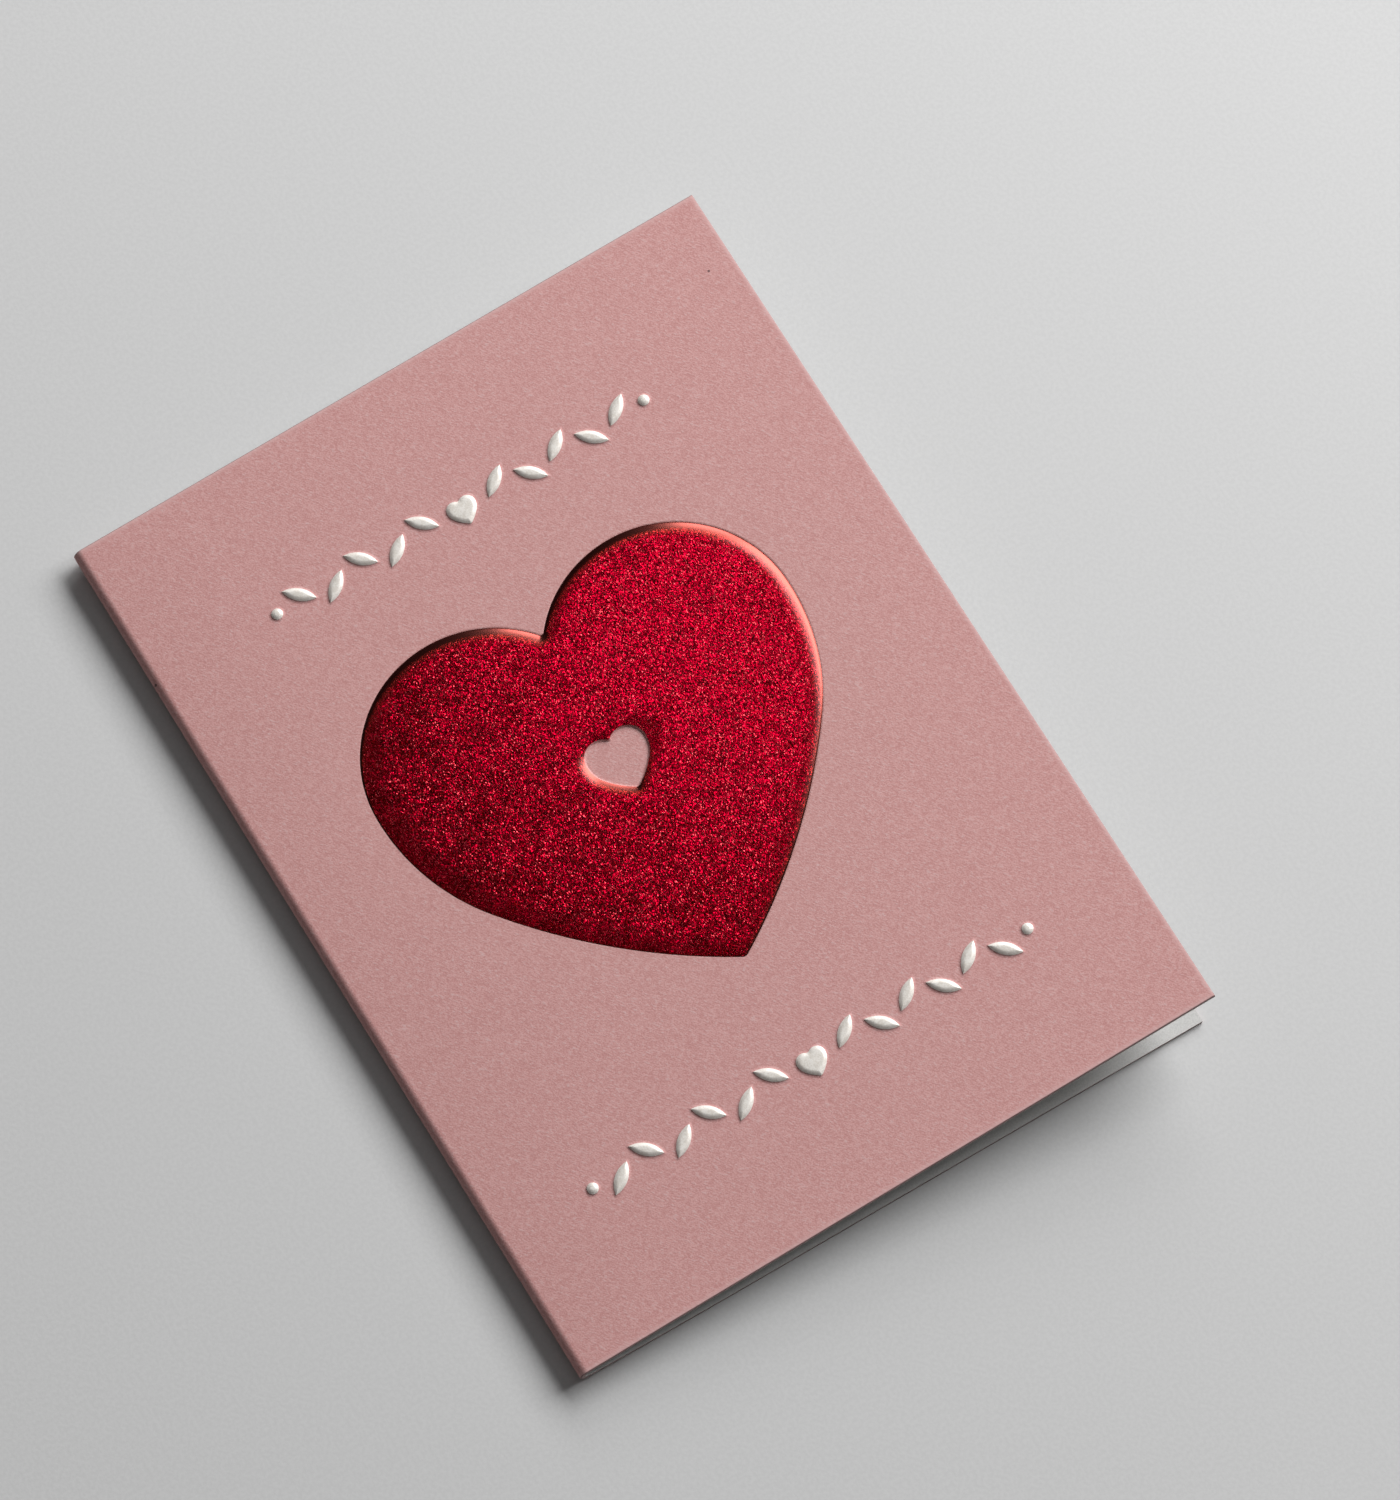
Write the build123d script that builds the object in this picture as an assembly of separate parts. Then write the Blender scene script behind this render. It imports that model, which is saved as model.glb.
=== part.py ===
from build123d import *
import math
import os
from dataclasses import dataclass

# A greeting card: one sheet of thick board folded once, lying on its back panel with the front
# panel sprung open. A large heart is embossed through the front panel as a soft pillow and covered
# with red foil, with a small heart-shaped window left bare in its middle. Two rows of raised leaves,
# dots and hearts in pearl foil run above and below it.
# Millimetres. X runs from the fold to the free edges, Y from the bottom edge to the top edge, Z up.
# On the front panel U runs from the outside of the fold, V from the bottom edge, W outwards.

# Sheet
FRONT_WIDTH = 110.0  # from the outside of the fold to the free edge, along the panel
BACK_SHORTFALL = 1.5  # what the back panel is narrower by, along the table
CARD_HEIGHT = 150.0
BOARD = 0.8  # thickness of the sheet
CUT_SHOULDER = 0.15  # what the cutting rule rounds off the outer side of each cut edge

# Fold
FOLD_INSIDE_RADIUS = 0.7
OPENING_ANGLE = 4.0  # degrees between the front panel and the table
CURL_ANGLE = 4.8  # degrees that the back panel lifts by beside the fold
CURL_LENGTH = 30.0  # length of back panel over which it lifts

# Every heart, as shares of its own width: arcs that run into each other
LOBE_OFFSET_RATIO = 0.2222  # from the heart's axis to the centre of each lobe
LOBE_RADIUS_RATIO = 0.2778
SHOULDER_RADIUS_RATIO = 0.482
SIDE_RADIUS_RATIO = 1.389
SHOULDER_START = 1.5  # degrees from level at which a lobe passes into its shoulder
SIDE_START = -37.2  # degrees from level at which the shoulder passes into the side
NOTCH_RADIUS = 0.5
DIE_RADIUS = 0.2  # the sharpest corner that an embossing die holds, inside or outside

# Heart pillow
HEART_WIDTH = 72.0
DESIGN_SHIFT = 1.0  # how far the middle of the design lies towards the fold
HEART_RISE = 13.9  # from the middle of the card's height up to the two lobe centres
TIP_RADIUS = 1.0
BEVEL_INSET = 0.5  # steep foot of the pillow
BEVEL_HEIGHT = 0.35
SHOULDER_INSET = 1.4
SHOULDER_HEIGHT = 0.75
PLATEAU_INSET = 2.8
PLATEAU_HEIGHT = 0.95

# Window in the pillow, whose bare floor is level with the outer face
WINDOW_WIDTH = 9.8
WINDOW_DROP = 9.4  # from the pillow's lobe centres to the window's
WINDOW_CORNER = 0.4  # radius of its tip
WINDOW_RIM_HEIGHT = 0.6
WINDOW_DRAFT = 0.2  # how far the wall leans out from the floor to the rim
DIP_WIDTH = 1.4  # soft slope of the foil from the plateau to the rim

# Hollow that the pillow leaves in the inner face
HOLLOW_CLEARANCE = 0.35  # how far the inner die stays inside the outer one
POST_WALL = 0.45  # board left round the window

# Rows of small raised ornaments, each a heart with leaves and a dot on both sides
UPPER_ROW_GAP = 16.3  # from the top of the heart to the middle of the row above it
LOWER_ROW_GAP = 18.6  # from the tip of the heart to the middle of the row below it
UPPER_LEAVES = 5  # on each side of the heart
LOWER_LEAVES = 6
FIRST_LEAF = 6.4  # from the middle of the row
LEAF_PITCH = 5.4
LEAF_OFFSET = 0.9  # leaves stand above and below the row's line in turn
LEAF_TILT = 42.0  # degrees
DOT_GAP = 4.4  # from the last leaf

SMALL_HEART_WIDTH = 4.8
SMALL_HEART_TIP = 0.4  # radius
LEAF_LENGTH = 5.4
LEAF_WIDTH = 2.0
LEAF_CUTS = 4  # straight lengths along each side of a leaf
DOT_RADIUS = 0.9
DOT_CUTS = 12
CROWN_INSET = 0.4  # slope up to the flat crown
CROWN_HEIGHT = 0.45

FOIL = 0.05  # thickness of both foils


@dataclass
class Heart:
    """A heart's outline. Its axis is U = 0, and its lobe centres are on V = 0."""

    width: float
    notch_radius: float
    tip_radius: float

    def face(self, inset: float = 0.0) -> Face:
        """The heart moved inwards by inset, with no corner sharper than a die holds."""
        notch_radius = max(self.notch_radius, DIE_RADIUS - inset)
        tip_radius = max(self.tip_radius, DIE_RADIUS + inset)
        lobe_radius = LOBE_RADIUS_RATIO * self.width
        shoulder_radius = SHOULDER_RADIUS_RATIO * self.width
        side_radius = SIDE_RADIUS_RATIO * self.width
        to_shoulder = Vector(1, 0).rotate(Axis.Z, SHOULDER_START)
        to_side = Vector(1, 0).rotate(Axis.Z, SIDE_START)

        lobe = Vector(LOBE_OFFSET_RATIO * self.width, 0)
        shoulder = lobe - to_shoulder * (shoulder_radius - lobe_radius)
        side = shoulder - to_side * (side_radius - shoulder_radius)
        notch = Vector(0, math.sqrt((lobe_radius + notch_radius) ** 2 - lobe.X**2))
        tip = Vector(0, side.Y - math.sqrt((side_radius - tip_radius) ** 2 - side.X**2))

        lobe_start = lobe + (notch - lobe).normalized() * (lobe_radius - inset)
        lobe_end = lobe + to_shoulder * (lobe_radius - inset)
        shoulder_end = shoulder + to_side * (shoulder_radius - inset)
        side_end = side + (tip - side).normalized() * (side_radius - inset)
        notch_floor = notch - Vector(0, notch_radius + inset)
        tip_end = tip - Vector(0, tip_radius - inset)

        right = [
            arc_about(lobe, lobe_start, lobe_end),
            arc_about(shoulder, lobe_end, shoulder_end),
            arc_about(side, shoulder_end, side_end),
        ]
        left = [arc.mirror(Plane.YZ) for arc in right]
        tip_arc = ThreePointArc(side_end, tip_end, Vector(-side_end.X, side_end.Y))
        notch_arc = ThreePointArc(Vector(-lobe_start.X, lobe_start.Y), notch_floor, lobe_start)
        return make_face([*right, tip_arc, *left, notch_arc])


def arc_about(centre: Vector, start: Vector, end: Vector) -> Edge:
    """The shorter arc about a centre from start to end."""
    towards = (start + end) * 0.5 - centre
    return ThreePointArc(start, centre + towards.normalized() * (start - centre).length, end)


def stack(levels: list[tuple[Face, float]]) -> Part:
    """A solid through a face at each height, with straight sides from each to the next."""
    return loft([Pos(0, 0, height) * face for face, height in levels], ruled=True)


def foil_over(relief: Part, foot: Face) -> Part:
    """The foil on a relief: all that lies within the foil's thickness above it."""
    return Pos(0, 0, FOIL) * relief + extrude(foot, FOIL) - relief


class FoldedSheet:
    """The plain sheet in section, in X and Z, from the back's free edge round the fold."""

    def __init__(self) -> None:
        curl = math.radians(CURL_ANGLE)
        self.curl_radius = CURL_LENGTH / curl
        self.fold_radius = FOLD_INSIDE_RADIUS + BOARD
        lift = self.curl_radius * (1 - math.cos(curl))
        self.fold_centre = Vector(self.fold_radius, lift + self.fold_radius * math.cos(curl))
        fold_start = self.fold_radius - self.fold_radius * math.sin(curl)
        self.curl_start = fold_start + self.curl_radius * math.sin(curl)

    def line(self, depth: float) -> list[Edge]:
        """The sheet's line at a depth under its outer face."""
        flat = Line((FRONT_WIDTH - BACK_SHORTFALL, depth), (self.curl_start, depth))
        curl = JernArc(flat @ 1, flat % 1, self.curl_radius - depth, -CURL_ANGLE)
        turn = 180 - CURL_ANGLE - OPENING_ANGLE
        fold = JernArc(curl @ 1, curl % 1, self.fold_radius - depth, -turn)
        front = Line(fold @ 1, (fold @ 1) + (fold % 1) * (FRONT_WIDTH - self.fold_radius))
        return [flat, curl, fold, front]

    def front_plane(self) -> Plane:
        """The front panel's outer face, from the outside of the fold and the bottom edge."""
        tilt = Rot(0, -OPENING_ANGLE, 0)
        fold_centre = Pos(self.fold_centre.X, 0, self.fold_centre.Y)
        return Plane(fold_centre * tilt * Pos(-self.fold_radius, 0, self.fold_radius))

    def build(self) -> Part:
        """The sheet with its outer face rounded off along every cut edge."""
        outer, inner = self.line(0), self.line(BOARD)
        cut_ends = [Line(outer[0] @ 0, inner[0] @ 0), Line(outer[-1] @ 1, inner[-1] @ 1)]
        section = Plane.XZ * make_face([*outer, *inner, *cut_ends])
        sheet = extrude(section, CARD_HEIGHT, dir=(0, 1, 0))
        skin = []
        for edge in outer:
            middle = Vector((edge @ 0.5).X, CARD_HEIGHT / 2, (edge @ 0.5).Y)
            skin += sheet.faces().sort_by_distance(middle)[:1]
        borders = [edge for face in skin for edge in face.edges()]
        rim = [edge for edge in borders if sum(edge.is_same(other) for other in borders) == 1]
        return chamfer(rim, CUT_SHOULDER)


class HeartPillow:
    """The embossed heart in the front panel's frame, with its lobe centres on the origin."""

    def __init__(self) -> None:
        self.heart = Heart(HEART_WIDTH, NOTCH_RADIUS, TIP_RADIUS)
        self.window = Heart(WINDOW_WIDTH, NOTCH_RADIUS, WINDOW_CORNER)
        self.window_place = Pos(0, -WINDOW_DROP)
        self.pillow = self.raised()
        self.foil = self.foil_with_window()

    def raised(self) -> Part:
        """The pillow over the outer face, with the window cut down to that face."""
        pillow = stack(
            [
                (self.heart.face(), 0),
                (self.heart.face(BEVEL_INSET), BEVEL_HEIGHT),
                (self.heart.face(SHOULDER_INSET), SHOULDER_HEIGHT),
                (self.heart.face(PLATEAU_INSET), PLATEAU_HEIGHT),
            ]
        )
        pocket = stack(
            [
                (self.window.face(), 0),
                (self.window.face(-WINDOW_DRAFT), WINDOW_RIM_HEIGHT),
                (self.window.face(-WINDOW_DRAFT - DIP_WIDTH), PLATEAU_HEIGHT),
            ]
        )
        return pillow - self.window_place * pocket

    def hollow(self) -> Part:
        """What the inner face loses behind the pillow, round the post that carries the window."""
        dish = stack(
            [
                (self.heart.face(HOLLOW_CLEARANCE), -BOARD),
                (self.heart.face(HOLLOW_CLEARANCE + BEVEL_INSET), BEVEL_HEIGHT - BOARD),
                (self.heart.face(PLATEAU_INSET), PLATEAU_HEIGHT - BOARD),
            ]
        )
        post_top = self.window.face(-WINDOW_DRAFT - POST_WALL)
        return dish - self.window_place * extrude(post_top, PLATEAU_HEIGHT, both=True)

    def foil_with_window(self) -> Part:
        """The red foil, cut straight through at the window's rim."""
        opening = extrude(self.window.face(-WINDOW_DRAFT), PLATEAU_HEIGHT + FOIL)
        return foil_over(self.pillow, self.heart.face()) - self.window_place * opening


class Ornament:
    """A small mound pressed up from the board on its foot, and the pearl foil over it."""

    def __init__(self, mound: Part, foot: Face) -> None:
        self.mound = mound
        self.foil = foil_over(mound, foot)


def small_heart() -> Ornament:
    """The heart in the middle of each row."""
    heart = Heart(SMALL_HEART_WIDTH, NOTCH_RADIUS, SMALL_HEART_TIP)
    mound = stack([(heart.face(), 0), (heart.face(CROWN_INSET), CROWN_HEIGHT)])
    return Ornament(mound, heart.face())


def straight_cut(foot: Face) -> Ornament:
    """An ornament whose straight sides all slope alike up to the crown."""
    slope = math.degrees(math.atan2(CROWN_INSET, CROWN_HEIGHT))
    return Ornament(extrude(foot, CROWN_HEIGHT, taper=slope), foot)


def leaf() -> Ornament:
    """A pointed leaf along U, with each round side cut in short straight lengths."""
    tip = LEAF_LENGTH / 2
    side = ThreePointArc((tip, 0), (0, LEAF_WIDTH / 2), (-tip, 0))
    upper = [side @ (cut / LEAF_CUTS) for cut in range(LEAF_CUTS)]
    lower = [Vector(-point.X, -point.Y) for point in upper]
    return straight_cut(make_face(Polyline(*upper, *lower, close=True)).face())


def end_dot() -> Ornament:
    """The round stud at each end of a row, cut the same way."""
    return straight_cut(RegularPolygon(DOT_RADIUS, DOT_CUTS).face())


def row(ornaments: list[Ornament], leaves: int) -> list[tuple[Ornament, Location]]:
    """The ornaments of one row with their places, alike on both sides of its middle."""
    middle_heart, side_leaf, dot = ornaments
    pieces = [(middle_heart, Pos(0, 0))]
    for side in (1, -1):
        for i in range(leaves):
            offset_v = LEAF_OFFSET if i % 2 == 0 else -LEAF_OFFSET
            tilt = LEAF_TILT if i % 2 == 0 else -LEAF_TILT
            place = Pos(side * (FIRST_LEAF + i * LEAF_PITCH), offset_v)
            pieces.append((side_leaf, place * Rot(0, 0, side * tilt)))
        last_leaf = FIRST_LEAF + (leaves - 1) * LEAF_PITCH
        pieces.append((dot, Pos(side * (last_leaf + DOT_GAP), 0)))
    return pieces


def main() -> None:
    """Builds the board and both foils and writes one file for each."""
    sheet = FoldedSheet()
    front = sheet.front_plane()
    pillow = HeartPillow()
    pillow_place = Pos(FRONT_WIDTH / 2 - DESIGN_SHIFT, CARD_HEIGHT / 2 + HEART_RISE)

    heart_box = pillow.heart.face().bounding_box()
    ornaments = [small_heart(), leaf(), end_dot()]
    upper_place = pillow_place * Pos(0, heart_box.max.Y + UPPER_ROW_GAP)
    lower_place = pillow_place * Pos(0, heart_box.min.Y - LOWER_ROW_GAP)
    rows = [(piece, upper_place * place) for piece, place in row(ornaments, UPPER_LEAVES)]
    rows += [(piece, lower_place * place) for piece, place in row(ornaments, LOWER_LEAVES)]

    board = sheet.build() + front * (pillow_place * pillow.pillow)
    board = board - front * (pillow_place * pillow.hollow())
    board = board + [front * (place * piece.mound) for piece, place in rows]
    nodes = {
        "folded_board": board,
        "heart_foil": front * (pillow_place * pillow.foil),
        "pearl_foil": Compound([front * (place * piece.foil) for piece, place in rows]),
    }

    box = board.bounding_box()
    to_origin = Pos(-box.center().X, -box.center().Y, -box.min.Z)
    os.makedirs("parts", exist_ok=True)
    for name, shape in nodes.items():
        export_step(to_origin * shape, f"parts/{name}.step")


main()
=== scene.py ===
"""Looks of a folded greeting card: pink board, a red foil heart and pearl foil ornaments."""

import logging
import math
from dataclasses import dataclass, field
from enum import IntEnum
from typing import Callable, Iterable, Sequence

import bmesh
import bpy
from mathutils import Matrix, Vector
from mathutils.geometry import delaunay_2d_cdt


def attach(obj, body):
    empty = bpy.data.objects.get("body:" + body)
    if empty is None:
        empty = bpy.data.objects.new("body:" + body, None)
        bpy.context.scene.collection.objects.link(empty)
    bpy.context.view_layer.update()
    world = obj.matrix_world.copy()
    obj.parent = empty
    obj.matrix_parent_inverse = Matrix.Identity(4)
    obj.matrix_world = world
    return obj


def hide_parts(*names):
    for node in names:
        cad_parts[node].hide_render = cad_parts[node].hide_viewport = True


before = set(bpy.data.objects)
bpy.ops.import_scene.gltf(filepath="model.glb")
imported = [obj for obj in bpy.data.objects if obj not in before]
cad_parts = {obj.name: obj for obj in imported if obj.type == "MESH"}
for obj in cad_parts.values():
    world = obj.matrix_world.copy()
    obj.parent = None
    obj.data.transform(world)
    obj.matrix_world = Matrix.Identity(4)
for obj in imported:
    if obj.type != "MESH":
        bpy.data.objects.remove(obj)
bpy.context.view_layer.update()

MM = 0.001  # the drawing below is in millimetres
PLAIN = (1.0, 1.0, 1.0)  # no stretch
INLAND = 9.0  # stands for "far from any cut", in millimetres
Flat = tuple[float, float]
Ring = list[Vector]
Level = tuple[float, float]  # an inset and a height
Colour = tuple[float, float, float, float]
Triple = tuple[float, float, float]
Material = bpy.types.Material
Piece = bpy.types.Object
log = logging.getLogger("greeting_card")


class Strand:
    """One value in a finish's node graph. Python's operators add Math nodes to it."""

    def __init__(self, recipe: "Recipe", socket: bpy.types.NodeSocket | None) -> None:
        """Holds the graph and the socket that gives the value."""
        self.recipe = recipe
        self.socket = socket

    def _maths(self, operation: str, *operands: "Strand | float") -> "Strand":
        """Adds a Math node on operands in the node's order, and gives its result."""
        values = dict(enumerate(operands))
        return self.recipe.node("ShaderNodeMath", {"operation": operation}, values)

    def __add__(self, other: "Strand | float") -> "Strand":
        """self + other."""
        return self._maths("ADD", self, other)

    def __radd__(self, other: "Strand | float") -> "Strand":
        """other + self."""
        return self._maths("ADD", other, self)

    def __sub__(self, other: "Strand | float") -> "Strand":
        """self - other."""
        return self._maths("SUBTRACT", self, other)

    def __rsub__(self, other: "Strand | float") -> "Strand":
        """other - self."""
        return self._maths("SUBTRACT", other, self)

    def __mul__(self, other: "Strand | float") -> "Strand":
        """self * other."""
        return self._maths("MULTIPLY", self, other)

    def __rmul__(self, other: "Strand | float") -> "Strand":
        """other * self."""
        return self._maths("MULTIPLY", other, self)

    def __abs__(self) -> "Strand":
        """The value without its sign."""
        return self._maths("ABSOLUTE", self)

    def less(self, other: "Strand | float") -> "Strand":
        """The smaller of the two."""
        return self._maths("MINIMUM", self, other)

    def between(self, low: float, high: float) -> "Strand":
        """Goes from low to high as the value goes from 0 to 1."""
        return self * (high - low) + low

    def ramp(self, start: float, end: float) -> "Strand":
        """A smooth step.

        Args:
            start: the value at which the result is 0.
            end: the value at which the result is 1.

        Returns:
            The result, from 0 to 1.
        """
        settings = {"interpolation_type": "SMOOTHSTEP"}
        limits = {"Value": self, "From Min": start, "From Max": end}
        return self.recipe.node("ShaderNodeMapRange", settings, limits)


class Recipe:
    """The node graph of a material or of the room."""

    def __init__(self, owner: Material | bpy.types.World) -> None:
        """Empties the owner's graph.

        Args:
            owner: a material or world.
        """
        self.owner = owner
        owner.use_nodes = True
        self.tree = owner.node_tree
        self.tree.nodes.clear()

    @classmethod
    def named(cls, name: str) -> "Recipe":
        """Starts a new material of that name."""
        return cls(bpy.data.materials.new(name))

    def node(
        self, kind: str, settings: dict[str, object], values: dict[object, object],
        output: object = 0,
    ) -> Strand:
        """Adds one node.

        Args:
            kind: the node's type.
            settings: the node's own properties, set before its sockets.
            values: numbers, colours, vectors or strands for its sockets, by name or index.
            output: the name or index of the output to go on with.

        Returns:
            That output, or a strand without a socket for a node that closes the graph.
        """
        node = self.tree.nodes.new(kind)
        for name, setting in settings.items():
            setattr(node, name, setting)
        for key, value in values.items():
            if isinstance(value, Strand):
                self.tree.links.new(value.socket, node.inputs[key])
            else:
                node.inputs[key].default_value = value
        return Strand(self, node.outputs[output] if node.outputs else None)

    def vector(
        self, operation: str, one: Strand, other: Strand | Triple, output: object = 0
    ) -> Strand:
        """Adds a Vector Math node on two vectors, and gives one of its outputs."""
        values = {0: one, 1: other}
        return self.node("ShaderNodeVectorMath", {"operation": operation}, values, output)

    def place(self, stretch: Triple = PLAIN) -> Strand:
        """The point on the object in metres, times a factor for each axis."""
        point = self.node("ShaderNodeTexCoord", {}, {}, "Object")
        return self.vector("MULTIPLY", point, stretch)

    def axes(self) -> tuple[Strand, Strand, Strand]:
        """X, Y and Z of the point on the object in millimetres."""
        point = {0: self.place((1 / MM, 1 / MM, 1 / MM))}
        return tuple(self.node("ShaderNodeSeparateXYZ", {}, point, axis) for axis in range(3))

    def noise(self, grain: float, detail: float = 2.0, place: Strand | None = None) -> Strand:
        """Random values round 0.5, with a grain in millimetres, read at a place or the point."""
        values = {"Vector": place or self.place(), "Scale": 1 / (grain * MM), "Detail": detail}
        return self.node("ShaderNodeTexNoise", {}, values)

    def mix(self, share: Strand, base: object, other: object) -> Strand:
        """Blends two colours, from the base at a share of 0 to the other at 1."""
        values = {0: share, 6: base, 7: other}
        return self.node("ShaderNodeMix", {"data_type": "RGBA"}, values, 2)

    def facing(self, direction: Vector) -> Strand:
        """How far the surface faces a direction, from -1 to 1, before any bump."""
        normal = self.node("ShaderNodeNewGeometry", {}, {}, "Normal")
        return self.vector("DOT_PRODUCT", normal, tuple(direction), "Value")

    def flakes(self, size: float, stretch: Triple) -> tuple[Strand, Strand]:
        """Small flat facets that lean at random.

        Args:
            size: how wide a facet is in millimetres.
            stretch: factors on X, Y and Z, less than 1 where the facets are long.

        Returns:
            Heights in millimetres, with slopes of up to 1, and a number from 0 to 1 for each.
        """
        point = self.place(stretch)
        values = {"Vector": point, "Scale": 1 / (size * MM)}
        drawn = self.node("ShaderNodeTexVoronoi", {}, values, "Color")
        middle = self.node("ShaderNodeTexVoronoi", {}, values, "Position")
        lean = self.vector("SUBTRACT", drawn, (0.5, 0.5, 0.5))
        rise = self.vector("DOT_PRODUCT", lean, self.vector("SUBTRACT", point, middle), "Value")
        chance = self.node("ShaderNodeSeparateXYZ", {}, {0: lean}, 2)
        return rise * (2 / MM), chance + 0.5

    def bump(self, height: Strand, depth: float, strength: Strand | float = 1.0) -> Strand:
        """The normal of a height whose unit is depth millimetres, with a share that shows."""
        values = {"Distance": depth * MM, "Height": height, "Strength": strength}
        return self.node("ShaderNodeBump", {}, values, "Normal")

    def surface(
        self, colour: Strand, roughness: Strand | float, normal: Strand, **gloss: Strand | float
    ) -> Material:
        """Closes the graph with the shader and its output.

        Args:
            colour: its base colour.
            roughness: its roughness.
            normal: its normal.
            gloss: its other sockets, with _ for each space.

        Returns:
            The material.
        """
        values = {"Base Color": colour, "Roughness": roughness, "Normal": normal}
        values |= {name.replace("_", " "): value for name, value in gloss.items()}
        shader = self.node("ShaderNodeBsdfPrincipled", {}, values)
        self.node("ShaderNodeOutputMaterial", {}, {"Surface": shader})
        return self.owner


def solid(red: float, green: float, blue: float) -> Colour:
    """A colour as a socket takes it, from the screen's values of 0 to 255."""
    shares = [value / 255 for value in (red, green, blue)]
    return (*(s / 12.92 if s <= 0.04045 else ((s + 0.055) / 1.055) ** 2.4 for s in shares), 1.0)


@dataclass(frozen=True)
class HeartOutline:
    """A heart of tangent arcs. Its axis is U = 0 and its lobe centres are on V = 0."""

    width: float
    notch_radius: float
    tip_radius: float
    steps: int  # points on a shoulder, with twice as many on a side or a lobe
    die_radius: float = 0.05  # no corner is sharper, inside or outside
    lobe_offset: float = 0.2222  # these four are shares of the width
    lobe_radius: float = 0.2778
    shoulder_radius: float = 0.482
    side_radius: float = 1.389
    shoulder_start: float = 1.5  # degrees from level
    side_start: float = -37.2

    def ring(self, inset: float) -> list[Flat]:
        """The outline moved inwards.

        Args:
            inset: how far, with less than 0 for outwards.

        Returns:
            Points anticlockwise from the tip, as many for every inset.
        """
        lobe_reach = self.lobe_radius * self.width
        shoulder_reach = self.shoulder_radius * self.width
        side_reach = self.side_radius * self.width
        lobe = Vector((self.lobe_offset * self.width, 0.0))
        shoulder = lobe - turned(self.shoulder_start) * (shoulder_reach - lobe_reach)
        side = shoulder - turned(self.side_start) * (side_reach - shoulder_reach)

        notch_radius = max(self.notch_radius, self.die_radius - inset)
        tip_radius = max(self.tip_radius, self.die_radius + inset)
        notch = Vector((0, math.sqrt((lobe_reach + notch_radius) ** 2 - lobe.x**2)))
        tip = Vector((0, side.y - math.sqrt((side_reach - tip_radius) ** 2 - side.x**2)))
        lobe_end = heading(notch - lobe)
        side_end = heading(tip - side)
        notch_start = heading(lobe - notch)
        count = self.steps

        right = [
            *arc(tip, tip_radius - inset, -90, side_end, count // 3),
            *arc(side, side_reach - inset, side_end, self.side_start, count * 2),
            *arc(shoulder, shoulder_reach - inset, self.side_start, self.shoulder_start, count),
            *arc(lobe, lobe_reach - inset, self.shoulder_start, lobe_end, count * 2),
            *arc(notch, notch_radius + inset, notch_start, -90, count // 3),
        ]
        bottom = (0.0, tip.y - tip_radius + inset)
        top = (0.0, notch.y - notch_radius - inset)
        left = [(-u, v) for u, v in reversed(right[1:])]
        return [bottom, *right[1:], top, *left]

    def span(self) -> Flat:
        """The lowest and highest V of the outline."""
        heights = [v for _, v in self.ring(0.0)]
        return min(heights), max(heights)


@dataclass(frozen=True)
class LeafOutline:
    """A leaf of two arcs that meet in a point at each end, along U."""

    length: float = 5.4
    width: float = 2.0
    steps: int = 18

    def ring(self, inset: float) -> list[Flat]:
        """The outline moved inwards.

        Args:
            inset: how far, with less than 0 for outwards.

        Returns:
            Points anticlockwise, as many for every inset.
        """
        tall, long = self.width / 2, self.length / 2
        reach = (tall**2 + long**2) / (2 * tall)
        drop = reach - tall
        half = math.sqrt(max((reach - inset) ** 2 - drop**2, 0.0))
        swing = math.degrees(math.atan2(half, drop))
        upper = arc(Vector((0, -drop)), reach - inset, 90 - swing, 90 + swing, self.steps)
        return [*upper, *((-u, -v) for u, v in upper)]


@dataclass(frozen=True)
class DotOutline:
    """A round dot."""

    radius: float = 0.9
    steps: int = 32

    def ring(self, inset: float) -> list[Flat]:
        """The outline moved inwards by inset."""
        return arc(Vector((0, 0)), self.radius - inset, 0, 360, self.steps)


@dataclass(frozen=True)
class Stamp:
    """An outline at its place on the front panel."""

    outline: HeartOutline | LeafOutline | DotOutline
    place: Flat
    turn: float = 0.0  # degrees

    def ring(self, inset: float) -> list[Flat]:
        """The placed outline moved inwards.

        Args:
            inset: how far, with less than 0 for outwards.

        Returns:
            Points along and up the panel.
        """
        (u, v), (cos, sin) = self.place, turned(self.turn)
        drawn = self.outline.ring(inset)
        return [(u + x * cos - y * sin, v + x * sin + y * cos) for x, y in drawn]


def turned(degrees: float) -> Vector:
    """The unit vector at an angle from U."""
    return Vector((math.cos(math.radians(degrees)), math.sin(math.radians(degrees))))


def heading(direction: Vector) -> float:
    """The angle of a direction from U, in degrees."""
    return math.degrees(math.atan2(direction.y, direction.x))


def arc(centre: Vector, radius: float, start: float, end: float, steps: int) -> list[Flat]:
    """As many points as steps on an arc, from start to just before end in degrees."""
    angles = (start + (end - start) * i / steps for i in range(steps))
    return [tuple(centre + turned(angle) * radius) for angle in angles]


def spread(start: float, end: float, steps: int) -> list[float]:
    """Even steps from start to end, both kept."""
    return [start + (end - start) * i / steps for i in range(steps + 1)]


def bulge(share: float, curve: float) -> float:
    """Goes from 0 to 1 and levels out, the sooner the larger the curve."""
    return 1 - (1 - share) ** curve


def raised(levels: Iterable[Level], lift: float) -> list[Level]:
    """The same insets at greater heights."""
    return [(inset, height + lift) for inset, height in levels]


def show(name: str, data: bpy.types.ID) -> Piece:
    """Puts a mesh, lamp or camera into the scene.

    Args:
        name: the object's name.
        data: what it holds.

    Returns:
        The object.
    """
    made = bpy.data.objects.new(name, data)
    bpy.context.scene.collection.objects.link(made)
    return made


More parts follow.
